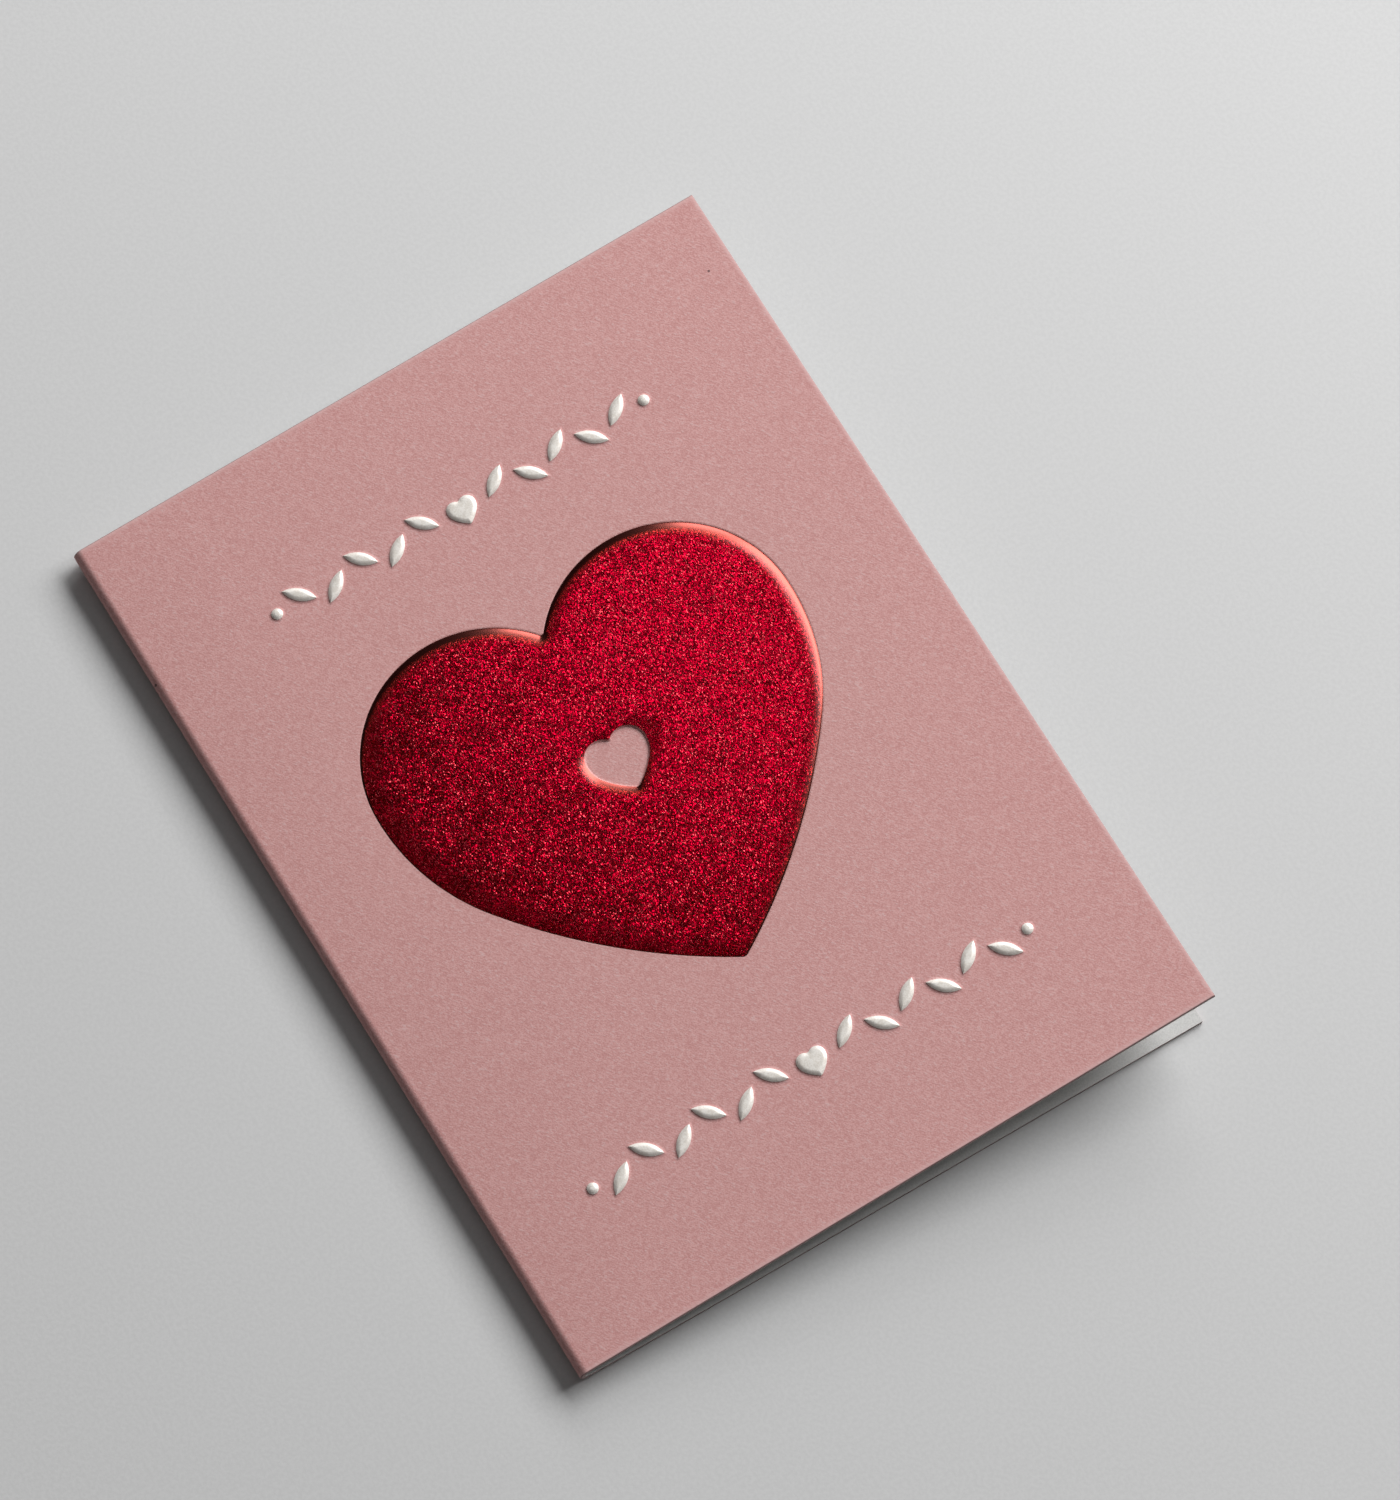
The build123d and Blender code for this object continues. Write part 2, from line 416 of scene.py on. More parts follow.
class Shell:
    """Collects the surfaces of one piece and welds them into a mesh."""

    WELD = 0.0015 * MM  # points nearer than this become one
    SLIVER = 0.0005 * MM  # edges shorter than this go
    REPEAT = 1e-4  # a drawn point this near the one before it is left out
    TOUCH = 1e-5  # drawn points and lines this near meet
    CREASE = math.radians(40)  # an edge that bends more stays sharp

    def __init__(self, sheet: "FoldedBoard") -> None:
        """Starts with nothing.

        Args:
            sheet: the board that the piece is or lies on.
        """
        self.sheet = sheet
        self.points: list[Vector] = []
        self.faces: list[tuple[int, ...]] = []
        self.coats: list[int] = []

    def add(self, points: Iterable[Vector], faces: Iterable[tuple[int, ...]], coat: int) -> None:
        """Adds faces on points of their own.

        Args:
            points: the corners.
            faces: indices into points.
            coat: the material's place in the piece's list.
        """
        first = len(self.points)
        self.points.extend(points)
        for face in faces:
            self.faces.append(tuple(first + corner for corner in face))
            self.coats.append(coat)

    def band(self, rings: Sequence[Ring], coat: int, closed: bool = True) -> None:
        """Joins each ring to the next.

        Args:
            rings: rings with as many points each.
            coat: the material's place in the piece's list.
            closed: whether each ring closes on itself.
        """
        count = len(rings[0])
        sides = count if closed else count - 1
        faces = []
        for row in range(len(rings) - 1):
            for i in range(sides):
                j = (i + 1) % count
                low, high = row * count, (row + 1) * count
                faces.append((low + i, low + j, high + j, high + i))
        self.add([point for ring in rings for point in ring], faces, coat)

    def stack(self, stamp: Stamp, levels: Iterable[Level], coat: int) -> None:
        """Joins the rings of a stamp.

        Args:
            stamp: gives them.
            levels: their insets, and their heights over the front panel.
            coat: the material's place in the piece's list.
        """
        rings = []
        for inset, height in levels:
            rings.append([self.sheet.on_panel(u, v, height) for u, v in stamp.ring(inset)])
        self.band(rings, coat)

    def edge(self, stamp: Stamp, level: Level, foil: float) -> None:
        """Closes a foil's rim between its upper and lower side."""
        self.stack(stamp, [*raised([level], foil), level], 0)

    def fill(self, loops: list[list[Flat]], height: float, coat: int) -> None:
        """Fills the first loop around the others.

        Args:
            loops: the outer loop and the holes, each anticlockwise.
            height: how far over the front panel they lie.
            coat: the material's place in the piece's list.
        """
        corners, edges, owners = [], [], []
        for number, loop in enumerate(loops):
            first = len(corners)
            kept = [p for i, p in enumerate(loop) if math.dist(p, loop[i - 1]) > self.REPEAT]
            corners += [Vector(p) for p in kept]
            edges += [(first + i, first + (i + 1) % len(kept)) for i in range(len(kept))]
            owners += [number] * len(kept)
        drawn, _, faces, origins, *_ = delaunay_2d_cdt(corners, edges, [], 2, self.TOUCH)
        kept_faces = []
        for face in faces:
            sources = sorted(origins[corner][0] for corner in face)
            a, b, c = (corners[source] for source in sources)
            one_hole = owners[sources[0]] == owners[sources[2]] > 0
            if not (one_hole and (b - a).cross(c - a) > 0):
                kept_faces.append(tuple(face))
        self.add([self.sheet.on_panel(*p, height) for p in drawn], kept_faces, coat)

    def piece(self, name: str, coats: list[Material]) -> Piece:
        """Welds what was added into one object.

        Args:
            name: the piece's name.
            coats: its materials.

        Returns:
            The object, linked into the scene.
        """
        mesh = bpy.data.meshes.new(name)
        mesh.from_pydata([point * MM for point in self.points], [], self.faces)
        mesh.polygons.foreach_set("material_index", self.coats)
        work = bmesh.new()
        work.from_mesh(mesh)
        bmesh.ops.remove_doubles(work, verts=work.verts, dist=self.WELD)
        bmesh.ops.dissolve_degenerate(work, edges=work.edges, dist=self.SLIVER)
        bmesh.ops.recalc_face_normals(work, faces=work.faces)
        open_edges = sum(1 for edge in work.edges if not edge.is_manifold)
        work.to_mesh(mesh)
        work.free()
        for coat in coats:
            mesh.materials.append(coat)
        mesh.shade_smooth()
        mesh.set_sharp_from_angle(angle=self.CREASE)
        log.info("%s: %d faces, %d open edges", name, len(mesh.polygons), open_edges)
        return show(name, mesh)


@dataclass(frozen=True)
class PinkFace:
    """The outer side of the board: uncoated, dusty pink, with short fibres, paler along the cuts,
    and with painted shade on the cut's rounded shoulder.
    """

    pink: Colour = solid(209, 160, 157)
    deep: Colour = solid(191, 136, 133)
    fibre: Colour = solid(205, 176, 175)
    pale_edge: Colour = solid(216, 184, 182)
    rounded: Colour = solid(128, 98, 96)  # painted shade on the rounded shoulder of the cut
    fleck: Colour = solid(70, 48, 48)
    cuts: Flat = (54.84, 75.0)  # where the board ends on X and Y, in millimetres
    fringe: float = 0.9  # width of the pale edge
    fringe_wander: float = 1.6  # how much the fringe wanders
    shoulder: Flat = (0.02, 0.2)  # distances from the cut over which the painted shade on its rounding fades
    lay: float = 52.0  # degrees from the way the fibres lie to X
    fibre_size: float = 0.24
    strand_size: float = 0.22
    strand: Triple = (0.35, 1.0, 1.0)  # strands are about three times as long as wide
    cloud_size: float = 1.2
    fibre_share: float = 0.5  # of the fibres in the tone
    strand_share: float = 0.35
    cloud_share: float = 0.15
    tones: Flat = (0.38, 0.62)  # where the deep pink ends and the full one begins
    pale_strands: Flat = (0.56, 0.74)  # where a strand turns pale
    strand_cover: float = 0.6  # how much of the pink a pale strand hides
    pale_edge_cover: float = 0.5
    fleck_cover: float = 0.8
    relief: float = 0.044
    roughness: float = 0.78
    fleck_size: Flat = (0.02, 0.06)  # squares of the radii at which a fleck fades
    fleck_places: tuple[Flat, ...] = ((50.5, 62.9), (-54.6, 50.4))

    def material(self) -> Material:
        """Builds the material.

        Returns:
            The material.
        """
        recipe = Recipe.named("pink_board_face")
        x, y, _ = recipe.axes()
        turn = {0: recipe.place(), "Angle": math.radians(self.lay)}
        laid = recipe.node("ShaderNodeVectorRotate", {"rotation_type": "Z_AXIS"}, turn)
        fibres = recipe.noise(self.fibre_size, 3.0)
        along_lay = recipe.vector("MULTIPLY", laid, self.strand)
        strands = recipe.noise(self.strand_size, 2.0, along_lay)
        cloud = recipe.noise(self.cloud_size, 3.0)
        tone = fibres * self.fibre_share + strands * self.strand_share
        tone = (tone + cloud * self.cloud_share).ramp(*self.tones)
        colour = recipe.mix(tone, self.deep, self.pink)
        pale = strands.ramp(*self.pale_strands) * self.strand_cover
        colour = recipe.mix(pale, colour, self.fibre)

        to_cut = (self.cuts[0] - x).less(self.cuts[1] - abs(y))
        # paler along the free edge and the top and bottom cuts, in a band that wanders with the
        # fibres
        wandering_reach = to_cut + (fibres - 0.5) * self.fringe_wander
        pale_edge = (1 - wandering_reach.ramp(0.0, self.fringe)) * self.pale_edge_cover
        colour = recipe.mix(pale_edge, colour, self.pale_edge)
        # painted shade: darkens the rounded shoulder along the cuts
        colour = recipe.mix(1 - to_cut.ramp(*self.shoulder), colour, self.rounded)
        for u, v in self.fleck_places:
            across, along = x - u, y - v
            spot = 1 - (across * across + along * along).ramp(*self.fleck_size)
            colour = recipe.mix(spot * self.fleck_cover, colour, self.fleck)
        normal = recipe.bump(fibres * 0.5 + strands * 0.5, self.relief)
        return recipe.surface(colour, self.roughness, normal)


@dataclass(frozen=True)
class PlainPaper:
    """Bare paper in two shades with a fine relief."""

    name: str
    pale: Colour
    shade: Colour
    grain: float  # millimetres
    tones: Flat  # the grain's values at which the shade ends and the pale begins
    relief: float  # millimetres
    roughness: float
    stretch: Triple = PLAIN  # less than 1 where the grain is long

    def material(self) -> Material:
        """Builds the material.

        Returns:
            The material.
        """
        recipe = Recipe.named(self.name)
        fibres = recipe.noise(self.grain, 3.0, recipe.place(self.stretch))
        colour = recipe.mix(fibres.ramp(*self.tones), self.shade, self.pale)
        return recipe.surface(colour, self.roughness, recipe.bump(fibres, self.relief))


WHITE_FACE_WITH_PAINTED_SHADE = PlainPaper(  # the smooth inner side of the board, its white dimmed partly as painted shade for the inside of the card
    "white_board_face_with_painted_shade", pale=solid(200, 199, 197), shade=solid(190, 189, 187),
    grain=0.25, tones=(0.38, 0.62), relief=0.02, roughness=0.75,
)
CUT_EDGE = PlainPaper(  # thin layers of fibre
    "cut_board_edge", pale=solid(172, 152, 149), shade=solid(138, 116, 114),
    grain=0.5, tones=(0.36, 0.62), relief=0.05, roughness=0.85, stretch=(0.6, 0.6, 6.0),
)
TABLE_PAPER = PlainPaper(  # the sheet that the card lies on
    "table_paper", pale=solid(202, 202, 202), shade=solid(198, 198, 198),
    grain=0.6, tones=(0.35, 0.65), relief=0.015, roughness=0.9,
)


@dataclass(frozen=True)
class RedFoil:
    """Red metallic foil on grained board. It is smooth where drawn over the steep foot and, as a
    painted highlight, on slopes facing the key light, with painted shade away from the heart's
    middle.
    """

    red: Colour = solid(192, 2, 43)
    dark: Colour = solid(74, 0, 0)
    silver: Colour = solid(204, 68, 78)  # facets that shine through the lacquer
    drawn: Colour = solid(122, 37, 23)  # on the steep foot, where it is drawn over, and as a painted highlight on slopes facing the key light
    facet: float = 0.11  # width in millimetres
    facet_shape: Triple = (1.0, 0.55, 1.0)  # longer along Y
    facet_lean: float = 0.8
    patch: float = 4.0  # size of the lighter and darker patches
    facet_share: float = 0.6  # of the facets in the tone
    patch_share: float = 0.4
    tones: Flat = (0.08, 0.74)  # where the dark ends and the full red begins
    silver_facets: Flat = (0.84, 0.97)  # the few facets that turn to silver
    middle: Flat = (14.0, 20.0)  # from here the skin falls away
    crown: Flat = (0.0032, 0.0016)  # how fast it does, per square millimetre
    crown_painted_shade: float = 0.025  # painted shade: how much the colour darkens as it does
    roughness: Flat = (0.24, 0.44)  # on steep slopes and, as part of the painted highlight, on slopes facing the key light; and where it is level
    lacquer: Flat = (0.7, 0.03)  # the weight of the clear coat, the same way
    lacquer_roughness: float = 0.25
    painted_highlight_axis: Vector = Vector((-0.18, -0.137, 1.0)).normalized()  # leans away from the key light: slopes facing this way keep their grain, and slopes facing the light get the painted highlight finish
    painted_highlight_span: Flat = (0.86, 0.945)  # how far a slope faces that way as its grain comes up and the painted highlight goes

    def material(self) -> Material:
        """Builds the material.

        Returns:
            The material.
        """
        recipe = Recipe.named("red_foil_skin")
        x, y, _ = recipe.axes()
        across, along = x - self.middle[0], y - self.middle[1]
        crown = across * across * -self.crown[0] - along * along * self.crown[1]
        facets, chance = recipe.flakes(self.facet, self.facet_shape)
        patches = recipe.noise(self.patch, 2.0)
        # painted highlight: the mask follows a fixed axis that leans away from the key light, so
        # slopes facing the light take the drawn colour, less roughness and more lacquer
        level = recipe.facing(self.painted_highlight_axis).ramp(*self.painted_highlight_span)
        height = facets * self.facet_lean * (0.5 + patches) + crown
        tone = chance * self.facet_share + patches * self.patch_share
        # painted shade: the colour darkens as the crown falls away from the middle
        tone = (tone + crown * self.crown_painted_shade).ramp(*self.tones)
        colour = recipe.mix(tone, self.dark, self.red)
        colour = recipe.mix(chance.ramp(*self.silver_facets), colour, self.silver)
        # painted highlight: the drawn colour where the mask is low
        colour = recipe.mix(level, self.drawn, colour)
        return recipe.surface(
            colour,
            level.between(*self.roughness),
            recipe.bump(height, 1.0, level),
            Metallic=1.0,
            Coat_Weight=level.between(*self.lacquer),
            Coat_Roughness=self.lacquer_roughness,
        )


@dataclass(frozen=True)
class PearlFoil:
    """Pale pearl foil with a soft satin shine."""

    pearl: Colour = solid(238, 233, 226)
    shade: Colour = solid(222, 215, 206)
    grain_size: float = 0.25  # millimetres
    cloud_size: float = 1.1
    tones: Flat = (0.4, 0.6)  # where the shade ends and the pearl begins
    relief: float = 0.012
    roughness: Flat = (0.36, 0.56)  # as the grain goes from 0 to 1
    metal: float = 0.12
    lacquer: float = 0.25  # the weight of the clear coat
    lacquer_roughness: float = 0.25

    def material(self) -> Material:
        """Builds the material.

        Returns:
            The material.
        """
        recipe = Recipe.named("pearl_foil_skin")
        grain = recipe.noise(self.grain_size, 3.0)
        cloud = recipe.noise(self.cloud_size, 2.0)
        tone = (grain * 0.5 + cloud * 0.5).ramp(*self.tones)
        colour = recipe.mix(tone, self.shade, self.pearl)
        return recipe.surface(
            colour,
            grain.between(*self.roughness),
            recipe.bump(grain, self.relief),
            Metallic=self.metal,
            Coat_Weight=self.lacquer,
            Coat_Roughness=self.lacquer_roughness,
        )


class Coat(IntEnum):
    """The places of the board's materials in its list."""

    OUTER = 0
    INNER = 1
    CUT = 2


@dataclass
class FoldedBoard:
    """The sheet: its section round the fold, swept along the card's height."""

    front_width: float = 110.0
    back_shortfall: float = 1.5
    height: float = 150.0
    board: float = 0.8
    shoulder: float = 0.15
    inside_radius: float = 0.7
    opening: float = 4.0  # degrees
    curl: float = 4.8  # degrees
    curl_length: float = 30.0
    border: float = 0.6  # strip along each cut that the sweep makes
    back_steps: int = 15
    curl_steps: int = 12
    fold_steps: int = 28
    front_steps: int = 22
    row_steps: int = 30
    cut_steps: int = 4
    round_steps: int = 5

    def __post_init__(self) -> None:
        """Works out the fold's centre and the card's place in the frame."""
        curl = math.radians(self.curl)
        self.curl_radius = self.curl_length / curl
        self.fold_radius = self.inside_radius + self.board
        lift = self.curl_radius * (1 - math.cos(curl))
        self.fold_centre = Vector((self.fold_radius, lift + self.fold_radius * math.cos(curl)))
        self.curl_start = self.fold_radius - self.fold_radius * math.sin(curl)
        self.curl_start += self.curl_radius * math.sin(curl)
        self.slant, self.upright = turned(self.opening), turned(90 + self.opening)
        self.along = Vector((self.slant.x, 0, self.slant.y))
        self.out = Vector((self.upright.x, 0, self.upright.y))
        self.corner = self.fold_centre + (self.upright - self.slant) * self.fold_radius
        reach = (self.corner + self.slant * self.front_width - self.upright * self.board).x
        self.to_frame = Vector((-reach / 2, -self.height / 2, 0))
        self.panel_corner = Vector((self.corner.x, 0, self.corner.y)) + self.to_frame
        self.rows = spread(self.border, self.height - self.border, self.row_steps)

    def on_panel(self, u: float, v: float, w: float) -> Vector:
        """A point of the front panel: along it, up it and out of it."""
        return self.panel_corner + self.along * u + Vector((0, v, 0)) + self.out * w

    def stations(self) -> list[tuple[Vector, Vector, float]]:
        """The section's lines from the back's free edge to the front's.

        Returns:
            For each a point on the outer face, the way out of it, and how far the cut is.
        """
        rim = self.rim_lines()
        back_end = self.front_width - self.back_shortfall
        found = [(Vector((back_end - d, 0)), Vector((0, -1)), d) for d in rim]
        flat = spread(back_end - self.border, self.curl_start, self.back_steps)[1:]
        found += [(Vector((x, 0)), Vector((0, -1)), INLAND) for x in flat]
        curl_centre = Vector((self.curl_start, self.curl_radius))
        bend = 270 - self.curl
        arcs = (
            (curl_centre, self.curl_radius, 270, bend, self.curl_steps),
            (self.fold_centre, self.fold_radius, bend, 90 + self.opening, self.fold_steps),
        )
        for centre, radius, start, end, steps in arcs:
            ways = [turned(angle) for angle in spread(start, end, steps)[1:]]
            found += [(centre + way * radius, way, INLAND) for way in ways]
        front = [(u, INLAND) for u in self.front_lines()[1:]]
        front += [(self.front_width - d, d) for d in reversed(rim[:-1])]
        return found + [(self.corner + self.slant * u, self.upright, d) for u, d in front]

    def front_lines(self) -> list[float]:
        """Distances along the front panel at which the sweep has a line."""
        return spread(self.fold_radius, self.front_width - self.border, self.front_steps)

    def rim_lines(self) -> list[float]:
        """Distances from a cut at which the sweep has a line."""
        shares = [1 - turned(angle).x for angle in spread(0, 90, self.round_steps)]
        return [self.shoulder * share for share in shares] + [self.border]

    def rounded(self, to_cut: float) -> float:
        """How far the outer face has dropped at a distance from the cut."""
        short = max(self.shoulder - to_cut, 0.0)
        return self.shoulder - math.sqrt(max(self.shoulder**2 - short**2, 0.0))

    def sweep(self, shell: Shell) -> None:
        """Adds all of the sheet but the middle of the front panel, where the designs are.

        Args:
            shell: takes the surfaces.
        """
        lines = self.stations()
        rim = self.rim_lines()
        rows = [*rim[:-1], *self.rows, *(self.height - d for d in reversed(rim[:-1]))]
        to_cut = [min(v, self.height - v) for v in rows]

        def layer(depth: Callable[[float], float]) -> list[Ring]:
            """Follows the sheet under its outer face.

            Args:
                depth: gives how far under it from the distance to the cut.

            Returns:
                A line of points for each station.
            """
            made = []
            for point, out, edge in lines:
                line = []
                for v, end in zip(rows, to_cut):
                    at = point - out * depth(min(edge, end))
                    line.append(Vector((at.x, v, at.y)) + self.to_frame)
                made.append(line)
            return made

        start = len(rim) + self.back_steps + self.curl_steps + self.fold_steps - 1
        end = start + self.front_steps
        outer = layer(self.rounded)
        inner = layer(lambda _: self.board)
        for rings, coat in ((outer, Coat.OUTER), (inner, Coat.INNER)):
            shell.band(rings[: start + 1], coat, False)
            shell.band(rings[end:], coat, False)
            panel = rings[start : end + 1]
            shell.band([line[: len(rim)] for line in panel], coat, False)
            shell.band([line[-len(rim) :] for line in panel], coat, False)

        right, top = len(lines) - 1, len(rows) - 1
        loop = [(i, 0) for i in range(right + 1)] + [(right, j) for j in range(1, top + 1)]
        loop += [(i, top) for i in reversed(range(right))]
        loop += [(0, j) for j in reversed(range(1, top))]
        rings = []
        for share in spread(0, 1, self.cut_steps):
            rings.append([outer[i][j].lerp(inner[i][j], share) for i, j in loop])
        shell.band(rings, Coat.CUT)

    def panel_loop(self) -> list[Flat]:
        """The border of the front panel's middle.

        Returns:
            Its points, one on every line of the sweep.
        """
        us, vs = self.front_lines(), self.rows
        loop = [(u, vs[0]) for u in us] + [(us[-1], v) for v in vs[1:]]
        loop += [(u, vs[-1]) for u in reversed(us[:-1])]
        return loop + [(us[0], v) for v in reversed(vs[1:-1])]


@dataclass
class HeartPillow:
    """The large heart pressed up through the front panel, its foil and its window."""

    place: Flat
    heart: HeartOutline = HeartOutline(72.0, notch_radius=0.5, tip_radius=1.0, steps=36)
    window: HeartOutline = HeartOutline(9.8, notch_radius=0.5, tip_radius=0.4, steps=15)
    window_drop: float = 9.4  # from the heart's lobe centres down to the window's
    pillow_height: float = 0.95
    slope_width: float = 3.6
    slope_curve: float = 1.84  # the larger, the sooner it levels out
    slope_steps: int = 18
    crowding: float = 1.3  # more than 1 where the rings lie closer at the foot
    foot_width: float = 0.5  # the slope's straight start
    foot_slope: float = 0.46
    crease_width: float = 0.2
    crease_depth: float = 0.05
    crease_steps: int = 8
    hem: float = 0.06  # flat ring outside the crease
    overlap: float = 0.1  # flat ring inside a slope
    rim_height: float = 0.3
    wall_draft: float = 0.2  # how far the rim lies outside the window's outline
    dip_width: float = 2.4
    dip_curve: float = 1.6
    dip_steps: int = 14
    wall: tuple[Level, ...] = (  # from the window's rim to its floor
        (-0.14, 0.22), (-0.08, 0.13), (-0.03, 0.07), (0.0, 0.03),
        (0.04, 0.01), (0.1, 0.0), (0.18, 0.0),
    )
    clearance: float = 0.35  # what the inner die stays inside the outer one
    apron: Flat = (0.25, 0.15)  # flat rings outside the hollow
    hollow_curve: float = 1.9
    hollow_steps: int = 10
    post_wall: float = 0.45  # board left round the window
    post_ring: float = 0.5  # height of a ring on the post
    foil: float = 0.05

    def __post_init__(self) -> None:
        """Places both outlines."""
        u, v = self.place
        self.outer = Stamp(self.heart, self.place)
        self.inner = Stamp(self.window, (u, v - self.window_drop))

    def crease(self, outset: float) -> float:
        """The height of the paper outside the outline, where it rolls down into the crease."""
        share = max(1 - outset / self.crease_width, 0.0)
        return -self.crease_depth * share * share * (3 - 2 * share)

    def slope(self, inset: float) -> float:
        """The height of the pillow inside the outline.

        Args:
            inset: how far inside.

        Returns:
            The height over the panel.
        """
        groove = max(1 - inset / self.crease_width, 0.0) * self.crease_depth
        start = self.foot_slope * min(inset, self.foot_width)
        share = (inset - self.foot_width) / (self.slope_width - self.foot_width)
        share = bulge(min(max(share, 0.0), 1.0), self.slope_curve)
        return start + (self.pillow_height - start) * share - groove

    def dip(self, outset: float) -> float:
        """The height of the pillow round the window, as it sinks to the rim."""
        share = max(1 - outset / self.dip_width, 0.0) ** self.dip_curve
        return self.pillow_height - (self.pillow_height - self.rim_height) * share

    def pillow_levels(self) -> list[Level]:
        """Insets and heights from the crease's bottom up to the plateau."""
        insets = [self.slope_width * s**self.crowding for s in spread(0, 1, self.slope_steps)]
        return [(d, self.slope(d)) for d in (*insets, self.slope_width + self.overlap)]

    def dip_levels(self) -> list[Level]:
        """Insets, less than 0, and heights from the plateau down to the window's rim."""
        outsets = [self.dip_width + self.overlap, *spread(self.dip_width, 0, self.dip_steps)]
        return [(-self.wall_draft - outset, self.dip(outset)) for outset in outsets]

    def top(self, shell: Shell, lift: float, coat: int) -> None:
        """Adds the pillow's upper side.

        Args:
            shell: takes the surfaces.
            lift: how far over the board it lies.
            coat: the material's place in the piece's list.
        """
        slope = raised(self.pillow_levels(), lift)
        dip = raised(self.dip_levels(), lift)
        shell.stack(self.outer, slope, coat)
        shell.stack(self.inner, dip, coat)
        loops = [self.outer.ring(slope[-1][0]), self.inner.ring(dip[0][0])]
        shell.fill(loops, self.pillow_height + lift, coat)

    def on_board(self, shell: Shell) -> list[Flat]:
        """Adds what the board has outside: the crease, the pillow under its foil, and the window.

        Args:
            shell: takes the surfaces.

        Returns:
            The loop where the flat panel begins.
        """
        border = self.crease_width + self.hem
        outsets = [border, *spread(self.crease_width, 0, self.crease_steps)]
        shell.stack(self.outer, [(-out, self.crease(out)) for out in outsets], Coat.OUTER)
        self.top(shell, 0.0, Coat.OUTER)
        wall = [self.dip_levels()[-1], *self.wall]
        shell.stack(self.inner, wall, Coat.OUTER)
        shell.fill([self.inner.ring(wall[-1][0])], 0.0, Coat.OUTER)
        return self.outer.ring(-border)

    def behind(self, shell: Shell) -> list[Flat]:
        """Adds the hollow that the die leaves inside, round the window's post.

        Args:
            shell: takes the surfaces.

        Returns:
            The loop where the flat inner face begins.
        """
        floor = -shell.sheet.board
        roof = floor + self.pillow_height
        levels = [(self.clearance - ring, floor) for ring in self.apron]
        width = self.slope_width - self.clearance
        for share in spread(0, 1, self.hollow_steps):
            height = floor + self.pillow_height * bulge(share, self.hollow_curve)
            levels.append((self.clearance + share * width, height))
        levels.append((self.slope_width + self.overlap, roof))
        shell.stack(self.outer, levels, Coat.INNER)
        post = -self.wall_draft - self.post_wall
        heights = (roof, floor + self.post_ring, floor)
        shell.stack(self.inner, [(post, height) for height in heights], Coat.INNER)
        shell.fill([self.outer.ring(levels[-1][0]), self.inner.ring(post)], roof, Coat.INNER)
        shell.fill([self.inner.ring(post)], floor, Coat.INNER)
        return self.outer.ring(levels[0][0])

    def skin(self, shell: Shell) -> None:
        """Adds the red foil as a closed skin on the pillow.

        Args:
            shell: takes the surfaces.
        """
        for lift in (self.foil, 0.0):
            self.top(shell, lift, 0)
        shell.edge(self.outer, self.pillow_levels()[0], self.foil)
        shell.edge(self.inner, self.dip_levels()[-1], self.foil)


